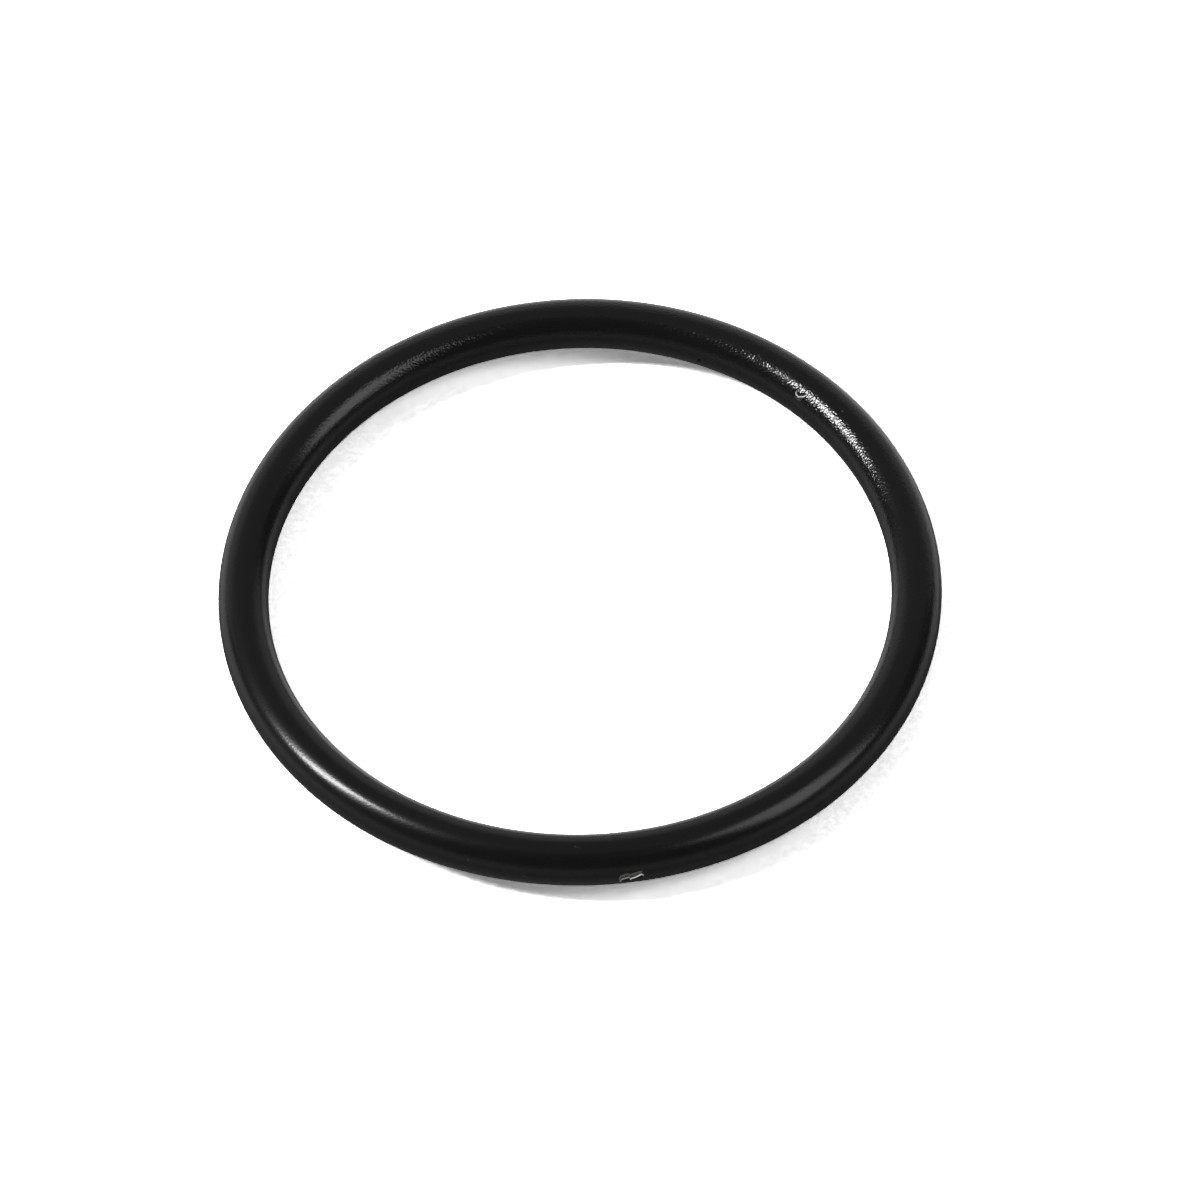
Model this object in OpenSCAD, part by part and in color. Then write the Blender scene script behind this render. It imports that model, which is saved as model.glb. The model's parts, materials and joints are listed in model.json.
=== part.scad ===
// Moulded rubber o-ring, lying flat.
// The origin is the ring's centre, in the plane where the two halves of the mould met.

/* [Ring] */
// Inside diameter of the relaxed ring, at its narrowest
inside_d = 43.7; // [10:0.01:150]
// Diameter of the round section
section_d = 3.55; // [1.5:0.01:8]

/* [Parting line] */
// Width of the flat left where the flash was trimmed off, round the inside and the outside
trimmed_w = 0.25; // [0.1:0.05:0.5]

/* [Nick in the outside] */
// Place of the nick, in degrees round the ring from +X
nick_at = 276.7; // [0:0.1:360]
// Height of its middle above the parting line
nick_up = 0.1; // [-0.3:0.05:0.3]
// Depth at its middle
nick_deep = 0.12; // [0.05:0.01:0.3]
// Radius of the hollow that was torn out
nick_r = 3; // [1:0.1:6]
// Thickness of the sliver of skin that still stands in it
sliver_t = 0.07; // [0.04:0.01:0.15]
// Slope of the sliver, in degrees from the parting line
sliver_tilt = 14; // [-30:1:30]

/* [Pit in the inside] */
// Place of the pit, in degrees round the ring from +X
pit_at = 65.9; // [0:0.1:360]
// Width of the pit
pit_d = 0.2; // [0.1:0.05:0.5]

/* [Hidden] */
$fn = 180;
section_r = section_d / 2;
// Middle of the section, from the ring's axis
centre_r = inside_d / 2 + section_r;
// From the middle of the section out to each trimmed flat
flat_r = sqrt(pow(section_r, 2) - pow(trimmed_w / 2, 2));

// The section, about its own middle: a circle with a narrow flat at each side
module section() {
    intersection() {
        circle(r = section_r);
        square([2 * flat_r, section_d], center = true);
    }
}

// The ring as it left the trimming: its section turned round the axis
module trimmed_ring() {
    rotate_extrude()
        translate([centre_r, 0])
            section();
}

// What is missing at the nick: a shallow hollow, parted by the sliver of skin that still stands
module nick() {
    rotate([0, 0, nick_at])
        translate([centre_r + flat_r, 0, nick_up])
            difference() {
                translate([nick_r - nick_deep, 0, 0])
                    sphere(r = nick_r);
                rotate([sliver_tilt, 0, 0])
                    cube([2 * nick_r, 2 * nick_r, sliver_t], center = true);
            }
}

// What is missing at the pit: a round hole as deep as half its width
module pit() {
    rotate([0, 0, pit_at])
        translate([centre_r - flat_r, 0, 0])
            sphere(d = pit_d, $fn = 48);
}

// The whole ring, moulded as one piece, with its handling marks
module o_ring() {
    color("#262626")
        difference() {
            trimmed_ring();
            nick();
            pit();
        }
}

o_ring();
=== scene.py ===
# A black rubber o-ring, lying flat on a white sheet in a small studio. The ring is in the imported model's
# frame: metres, with the origin at the ring's centre and +Z up.
import bpy
import json
from math import atan2, cos, exp, hypot, pi, radians, sin, sqrt, tan
from mathutils import Matrix, Vector


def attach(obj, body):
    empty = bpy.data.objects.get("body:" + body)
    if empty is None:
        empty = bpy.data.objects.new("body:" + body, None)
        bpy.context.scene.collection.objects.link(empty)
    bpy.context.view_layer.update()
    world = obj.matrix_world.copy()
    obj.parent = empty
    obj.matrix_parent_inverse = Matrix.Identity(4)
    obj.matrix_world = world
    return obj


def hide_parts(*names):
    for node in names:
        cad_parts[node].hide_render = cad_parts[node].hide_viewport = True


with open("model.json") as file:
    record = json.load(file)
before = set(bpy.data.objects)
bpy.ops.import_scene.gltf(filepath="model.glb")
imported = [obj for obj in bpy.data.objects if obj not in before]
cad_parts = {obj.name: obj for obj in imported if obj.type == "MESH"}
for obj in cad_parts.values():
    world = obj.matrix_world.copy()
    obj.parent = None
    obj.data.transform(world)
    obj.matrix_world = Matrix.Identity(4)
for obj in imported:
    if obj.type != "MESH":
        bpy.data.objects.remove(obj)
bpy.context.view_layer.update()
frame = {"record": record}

# The camera stands at the photograph's viewing angle: in front of the ring, looking down on it through a
# long lens from 0.8 m. It leans a little, and it aims just beside the ring's centre.
MM = 0.001
view_elevation = radians(52.91)
view_lean = radians(-1.747)
view_distance = 795 * MM
aim_right = 1.389 * MM
aim_up = -0.842 * MM
image_px = 1200
px_per_mm = 14.243
film_mm = 36

camera_data = bpy.data.cameras.new("photo_camera")
camera_data.sensor_width = film_mm
camera_data.lens = film_mm * px_per_mm * (view_distance / MM) / image_px
camera = bpy.data.objects.new("photo_camera", camera_data)
bpy.context.collection.objects.link(camera)
tip = Matrix.Rotation(pi / 2 - view_elevation, 4, "X")
lean = Matrix.Rotation(view_lean, 4, "Z")
camera.matrix_world = tip @ lean @ Matrix.Translation((aim_right, aim_up, view_distance))
bpy.context.scene.camera = camera
bpy.context.scene.view_settings.view_transform = "Standard"

# The ring is compression moulded from black nitrile rubber in one piece. Its section is a circle, turned
# once round the axis, with a narrow flat inside and outside where the flash was trimmed off.
seats = {mount["name"]: mount["dims"] for mount in frame["record"]["mounts"]}
inside_r = seats["inside_seat"]["r_mm"] * MM
outside_r = seats["outside_seat"]["r_mm"] * MM
trimmed_w = seats["outside_seat"]["length_mm"] * MM
centre_r = (inside_r + outside_r) / 2
section_r = (outside_r - inside_r) / 2
flat_r = sqrt(section_r ** 2 - (trimmed_w / 2) ** 2)
round_steps = 360
section_steps = 64
merge_within = 0.001 * MM

bpy.ops.object.select_all(action="DESELECT")
bpy.ops.mesh.primitive_circle_add(vertices=section_steps, radius=section_r, fill_type="NGON",
                                  location=(centre_r, 0, 0), rotation=(pi / 2, 0, 0))
ring = bpy.context.active_object
ring.name = "moulded_ring"
bpy.ops.object.transform_apply(location=True, rotation=True, scale=True)
bpy.ops.object.mode_set(mode="EDIT")
for side in (-1, 1):
    bpy.ops.mesh.select_all(action="SELECT")
    bpy.ops.mesh.bisect(plane_co=(centre_r + side * flat_r, 0, 0), plane_no=(side, 0, 0), clear_outer=True)
bpy.ops.mesh.select_all(action="SELECT")
bpy.ops.mesh.delete(type="ONLY_FACE")
bpy.ops.mesh.select_all(action="SELECT")
bpy.ops.mesh.spin(steps=round_steps, angle=2 * pi, center=(0, 0, 0), axis=(0, 0, 1))
bpy.ops.mesh.select_all(action="SELECT")
bpy.ops.mesh.remove_doubles(threshold=merge_within)
bpy.ops.mesh.normals_make_consistent(inside=False)
bpy.ops.object.mode_set(mode="OBJECT")


def place_on_ring(point):
    """The azimuth of a point, and its angle round the section: 0 outside, pi / 2 on top, pi inside."""
    azimuth = atan2(point.y, point.x)
    return azimuth, atan2(point.z, hypot(point.x, point.y) - centre_r)


def outward(azimuth, angle):
    """The direction that the round section faces at a place on the ring."""
    return Vector((cos(angle) * cos(azimuth), cos(angle) * sin(azimuth), sin(angle)))


# The marks that handling left on the ring. Each is a place on it, in degrees, and strokes drawn there in
# millimetres, along the ring and up round its section: a height, a width, how much of the near-white it
# takes, and the points of its line. The nick keeps a sliver of skin that tore loose, and the crescent is a
# sliver that curled up. On the nick and the crescent the near-white is a painted highlight where their
# slivers and edges catch the light, on rubber that pales where it tore. On the specks it is their own paler
# colour.
marks = {
    "nick": {
        "azimuth": 276.7, "angle": 0, "reach": (1.3, 0.95),
        "strokes": [
            (0.075, 0.04, 0.6, [(-0.80, -0.26), (-0.66, -0.02), (-0.20, 0.11), (-0.08, -0.05)]),
            (0.1, 0.05, 1.0, [(-0.08, -0.05), (0.29, 0.06), (0.68, 0.26), (0.80, 0.15)]),
            (-0.07, 0.08, 0.0, [(-0.60, -0.26), (0.07, -0.27), (0.71, -0.02)]),
            (-0.06, 0.08, 0.2, [(-0.62, 0.13), (-0.33, 0.24), (0.00, 0.17), (0.30, 0.24), (0.66, 0.38)]),
            (0.03, 0.04, 0.2, [(-0.85, -0.11), (-0.76, 0.27), (-0.33, 0.42), (-0.06, 0.33),
                               (0.30, 0.42), (0.73, 0.50)]),
            (-0.03, 0.05, 0.0, [(-0.08, 0.50), (0.45, 0.58)]),
        ],
    },
    "crescent": {
        "azimuth": 44.5, "angle": 135, "reach": (0.9, 0.7),
        "strokes": [
            (0.06, 0.04, 1.0, [(0.29, -0.05), (0.26, 0.05), (0.18, 0.11), (-0.04, 0.14), (-0.23, 0.04),
                               (-0.42, -0.12), (-0.54, -0.35)]),
            (-0.07, 0.06, 0.0, [(0.14, -0.06), (-0.04, 0.02), (-0.2, -0.1), (-0.35, -0.28)]),
            (-0.05, 0.05, 0.0, [(0.42, -0.08), (0.38, 0.12), (0.22, 0.24), (-0.08, 0.27), (-0.32, 0.15)]),
        ],
    },
    "pit": {
        "azimuth": 65.9, "angle": 180, "reach": (0.35, 0.35),
        "strokes": [(-0.2, 0.1, 0.0, [(0, 0)])],
    },
}
speck_places = [(267.9, 85), (273.7, 111), (259.9, 6), (250.8, 25), (35.8, 96)]
for number, (azimuth, angle) in enumerate(speck_places):
    marks[f"speck_{number}"] = {
        "azimuth": azimuth, "angle": angle, "reach": (0.2, 0.2),
        "strokes": [(0.02, 0.045, 0.06, [(0, 0)])],
    }
mark_cuts = 13


def on_marks(point):
    """The mark that a point lies in, and its place there in millimetres: along the ring, and up round it."""
    azimuth, angle = place_on_ring(point)
    for name, mark in marks.items():
        mark_r = (centre_r + section_r * cos(radians(mark["angle"]))) / MM
        along = ((azimuth - radians(mark["azimuth"]) + pi) % (2 * pi) - pi) * mark_r
        up = ((angle - radians(mark["angle"]) + pi) % (2 * pi) - pi) * section_r / MM
        if abs(along) < mark["reach"][0] and abs(up) < mark["reach"][1]:
            return name, Vector((along, up))
    return None, None


def distance(place, points):
    """How far a place in a mark is from the line through a stroke's points, or from its only point."""
    nearest = []
    for start, end in zip(points, points[1:] or points):
        start, run = Vector(start), Vector(end) - Vector(start)
        share = min(max((place - start).dot(run) / (run.length_squared or 1), 0), 1)
        nearest.append((place - start - share * run).length)
    return min(nearest)


# A free ring is never quite round or quite flat. This one has three slight lobes, and it rises and falls
# slowly as it goes round, highest at its front and back. Only the shading follows the rise, through the
# attribute of that name, so that the ring keeps the height of its section.
lobes = 3
lobe_height = 0.106 * MM
lobe_azimuth = radians(-36)
rises = 2
rise_height = 0.45 * MM
rise_azimuth = radians(82.5)


def out_of_round(azimuth):
    """How far the ring's lobes stand out from a circle."""
    return lobe_height * cos(lobes * (azimuth - lobe_azimuth))


def wave(azimuth):
    """The ring's rises, as a share of their height: 1 at the tops, and -1 halfway between them."""
    return cos(rises * (azimuth - rise_azimuth))


bpy.ops.object.mode_set(mode="EDIT")
bpy.ops.mesh.select_mode(type="FACE")
bpy.ops.mesh.select_all(action="DESELECT")
bpy.ops.object.mode_set(mode="OBJECT")
for face in ring.data.polygons:
    face.select = on_marks(face.center)[0] is not None
bpy.ops.object.mode_set(mode="EDIT")
bpy.ops.mesh.subdivide(number_cuts=mark_cuts)
bpy.ops.object.mode_set(mode="OBJECT")

# The share of the near-white at each point: paler rubber where it tore, and a painted highlight on the
# slivers.
torn = ring.data.attributes.new("torn", "FLOAT", "POINT")
rise = ring.data.attributes.new("rise", "FLOAT", "POINT")
for vertex in ring.data.vertices:
    azimuth, angle = place_on_ring(vertex.co)
    name, place = on_marks(vertex.co)
    if name:
        for height, width, torn_share, points in marks[name]["strokes"]:
            share = exp(-(distance(place, points) / width) ** 2)
            vertex.co += height * MM * share * outward(azimuth, angle)
            torn.data[vertex.index].value = max(torn.data[vertex.index].value, torn_share * share)
    vertex.co += out_of_round(azimuth) * outward(azimuth, 0)
    rise.data[vertex.index].value = wave(azimuth)
bpy.ops.object.shade_smooth()

# Nitrile rubber, the black compound of most o-rings: carbon black makes it very dark. Where the marks ask
# for it, the colour goes over to a near-white, which is paler rubber where it tore and mostly a painted
# highlight on the slivers of the nick and the crescent. The moulded skin is satin, glossier on the crown
# than on the flanks, and the blasted mould printed its grain in it, deeper at the back of this ring. The
# finest of the grain wouldn't show here, so it is drawn a little coarser than blasting leaves it.
rubber_colour = "#0f0f0f"
torn_colour = "#ecece8"
rubber_ior = 1.42
to_the_back = (0.4, 0.92, 0)
grain_fades_at = -12 * MM
grain_full_at = 20 * MM
grain_mm = 0.135
grain_height = 0.0208 * MM
shallow_share = 0.22
flank_below = 0.3 * MM
crown_above = 1.4 * MM
flank_gloss = 0.18
crown_gloss = 0.5
coarse_gloss = 0.1
flank_roughness = 0.62
crown_roughness = 0.23
coarse_roughness = -0.06


def linear(colour):
    """An sRGB hex colour as the linear colour that a shader takes."""
    parts = [int(colour[i:i + 2], 16) / 255 for i in (1, 3, 5)]
    return [p / 12.92 if p <= 0.04045 else ((p + 0.055) / 1.055) ** 2.4 for p in parts] + [1]


def add_node(owner, kind, inputs, **settings):
    """Adds a node. Each input is given a value, or another node's output that is linked to it."""
    node = owner.node_tree.nodes.new(kind)
    for name, value in settings.items():
        setattr(node, name, value)
    for name, value in inputs.items():
        if isinstance(value, bpy.types.NodeSocket):
            owner.node_tree.links.new(value, node.inputs[name])
        else:
            node.inputs[name].default_value = value
    return node


rubber = bpy.data.materials.new("moulded_nitrile_rubber")
rubber.use_nodes = True
rubber.node_tree.nodes.clear()
here = add_node(rubber, "ShaderNodeTexCoord", {}).outputs["Object"]

# How coarse the skin is: 0 at the front of the ring and 1 at its back.
backward = add_node(rubber, "ShaderNodeVectorMath", {0: here, 1: to_the_back}, operation="DOT_PRODUCT")
coarse = add_node(rubber, "ShaderNodeMapRange", {
    "Value": backward.outputs["Value"], "From Min": grain_fades_at, "From Max": grain_full_at,
}, interpolation_type="SMOOTHSTEP").outputs["Result"]

# The grain's bumps lie on the slow rise and fall of the ring.
risen = add_node(rubber, "ShaderNodeAttribute", {}, attribute_name="rise").outputs["Fac"]
swell = add_node(rubber, "ShaderNodeBump", {"Strength": 1.0, "Distance": rise_height, "Height": risen})
grain = add_node(rubber, "ShaderNodeTexNoise", {
    "Vector": here, "Scale": 1 / (grain_mm * MM), "Detail": 0.0,
}, normalize=True)
depth = add_node(rubber, "ShaderNodeMath", {
    0: coarse, 1: 1 - shallow_share, 2: shallow_share,
}, operation="MULTIPLY_ADD")
skin = add_node(rubber, "ShaderNodeBump", {
    "Strength": depth.outputs["Value"], "Distance": grain_height,
    "Height": grain.outputs["Fac"], "Normal": swell.outputs["Normal"],
})

# The crown of the tube and its flanks are told apart by height. Gloss fades and roughness grows down them.
height = add_node(rubber, "ShaderNodeSeparateXYZ", {"Vector": here}).outputs["Z"]
crown = add_node(rubber, "ShaderNodeMapRange", {
    "Value": height, "From Min": flank_below, "From Max": crown_above,
}, interpolation_type="SMOOTHSTEP").outputs["Result"]
sheen = add_node(rubber, "ShaderNodeMath", {
    0: coarse, 1: coarse_gloss, 2: crown_gloss,
}, operation="MULTIPLY_ADD")
gloss = add_node(rubber, "ShaderNodeMapRange", {
    "Value": crown, "To Min": flank_gloss, "To Max": sheen.outputs["Value"],
})
polish = add_node(rubber, "ShaderNodeMath", {
    0: coarse, 1: coarse_roughness, 2: crown_roughness,
}, operation="MULTIPLY_ADD")
matt = add_node(rubber, "ShaderNodeMapRange", {
    "Value": crown, "To Min": flank_roughness, "To Max": polish.outputs["Value"],
})

# Near-white where the marks ask for it: a painted highlight on their slivers, on rubber that pales where it
# tore.
torn_here = add_node(rubber, "ShaderNodeAttribute", {}, attribute_name="torn").outputs["Fac"]
colour = add_node(rubber, "ShaderNodeMix", {
    0: torn_here, 6: linear(rubber_colour), 7: linear(torn_colour),
}, data_type="RGBA")
shader = add_node(rubber, "ShaderNodeBsdfPrincipled", {
    "Base Color": colour.outputs[2], "Roughness": matt.outputs["Result"], "IOR": rubber_ior,
    "Specular IOR Level": gloss.outputs["Result"], "Normal": skin.outputs["Normal"],
})
add_node(rubber, "ShaderNodeOutputMaterial", {"Surface": shader.outputs["BSDF"]})
ring.data.materials.append(rubber)

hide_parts("o_ring")
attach(ring, "root")

# The floor is a sheet of smooth white paper that runs on past the view. It dips a little under the front and
# the back of the ring, which rests on it at its two sides and so stands clear of its own shadow.
floor_r = 1.5
floor_steps = 96
dip_rings = 24
dip_reach = 60 * MM
dip_depth = 0.95 * MM
dip_width = 12 * MM

bpy.ops.object.select_all(action="DESELECT")
bpy.ops.mesh.primitive_circle_add(vertices=floor_steps, radius=floor_r, fill_type="NGON",
                                  location=(0, 0, -section_r))
floor = bpy.context.active_object
floor.name = "paper_floor"
bpy.ops.object.transform_apply(location=True, rotation=False, scale=False)
bpy.ops.object.mode_set(mode="EDIT")
bpy.ops.mesh.select_all(action="SELECT")
bpy.ops.mesh.inset(thickness=floor_r - dip_reach)
for _ in range(dip_rings):
    bpy.ops.mesh.inset(thickness=dip_reach / (dip_rings + 1))
bpy.ops.object.mode_set(mode="OBJECT")
for vertex in floor.data.vertices:
    azimuth = atan2(vertex.co.y, vertex.co.x)
    from_ring = hypot(vertex.co.x, vertex.co.y) - centre_r
    vertex.co.z -= dip_depth * (1 + wave(azimuth)) / 2 * exp(-(from_ring / dip_width) ** 2)
bpy.ops.object.shade_smooth()

# White paper, pressed smooth: its fibres show only as a faint mottle, and are drawn coarse enough for that.
# The camera sees the sheet much whiter than the ring does, so that it is as white as the photograph's and
# still keeps the ring's shadow. Mirrored in the rubber, it is a little whiter too.
paper_colour = "#e7e7e7"
mirrored_colour = "#f3f3f3"
seen_white = 3.9
fibre_mm = 0.35
fibre_noise = (0.3, 0.7)
mottle_share = 0.12

paper = bpy.data.materials.new("white_paper")
paper.use_nodes = True
paper.node_tree.nodes.clear()
rays = add_node(paper, "ShaderNodeLightPath", {}).outputs
mirrored = add_node(paper, "ShaderNodeMath", {
    0: rays["Is Glossy Ray"], 1: rays["Is Transmission Ray"],
}, operation="MAXIMUM")
lit = add_node(paper, "ShaderNodeMix", {
    0: mirrored.outputs["Value"], 6: linear(paper_colour), 7: linear(mirrored_colour),
}, data_type="RGBA")
shown = add_node(paper, "ShaderNodeMix", {
    0: rays["Is Camera Ray"], 6: lit.outputs[2], 7: (seen_white, seen_white, seen_white, 1),
}, data_type="RGBA")
spot = add_node(paper, "ShaderNodeTexCoord", {}).outputs["Object"]
fibres = add_node(paper, "ShaderNodeTexNoise", {
    "Vector": spot, "Scale": 1 / (fibre_mm * MM), "Detail": 3.0,
}, normalize=True)
mottle = add_node(paper, "ShaderNodeMapRange", {
    "Value": fibres.outputs["Fac"], "From Min": fibre_noise[0], "From Max": fibre_noise[1],
    "To Min": 1 - mottle_share, "To Max": 1 + mottle_share,
})
tint = add_node(paper, "ShaderNodeMix", {
    0: 1.0, 6: shown.outputs[2], 7: mottle.outputs["Result"],
}, data_type="RGBA", blend_type="MULTIPLY")
sheet = add_node(paper, "ShaderNodeBsdfDiffuse", {"Color": tint.outputs[2]})
add_node(paper, "ShaderNodeOutputMaterial", {"Surface": sheet.outputs["BSDF"]})
floor.data.materials.append(paper)

# The lamps are two softboxes, a bright one at the left and a wide dim one at the right, with a faint soft
# light overhead and a pale sweep behind, in a dim room. Each has a place and a size in degrees, as seen from
# the ring, and a brightness.
lamp_distance = 1.5
room_brightness = 0.08


def softbox(name, azimuth, elevation, width, height, radiance):
    """A rectangular lamp that faces the ring, as wide and as high as the angles that it fills from there."""
    data = bpy.data.lights.new(name, "AREA")
    data.shape = "RECTANGLE"
    data.size = 2 * lamp_distance * tan(radians(width) / 2)
    data.size_y = 2 * lamp_distance * tan(radians(height) / 2)
    data.energy = radiance * pi * data.size * data.size_y
    lamp = bpy.data.objects.new(name, data)
    bpy.context.collection.objects.link(lamp)
    toward = outward(radians(azimuth), radians(elevation))
    facing = toward.to_track_quat("Z", "Y").to_matrix().to_4x4()
    lamp.matrix_world = Matrix.Translation(lamp_distance * toward) @ facing
    lamp.visible_camera = False


softbox("left_softbox", 179.4, 44.8, 7, 24, 57.0)
softbox("right_softbox", 343.5, 45.5, 28, 38, 2.3)
softbox("overhead", 90, 68, 90, 60, 0.14)
softbox("pale_sweep", 92, 17, 110, 40, 0.42)

world = bpy.data.worlds.new("studio")
bpy.context.scene.world = world
world.use_nodes = True
world.node_tree.nodes.clear()
background = add_node(world, "ShaderNodeBackground", {
    "Color": linear("#ffffff"), "Strength": room_brightness,
})
add_node(world, "ShaderNodeOutputWorld", {"Surface": background.outputs["Background"]})
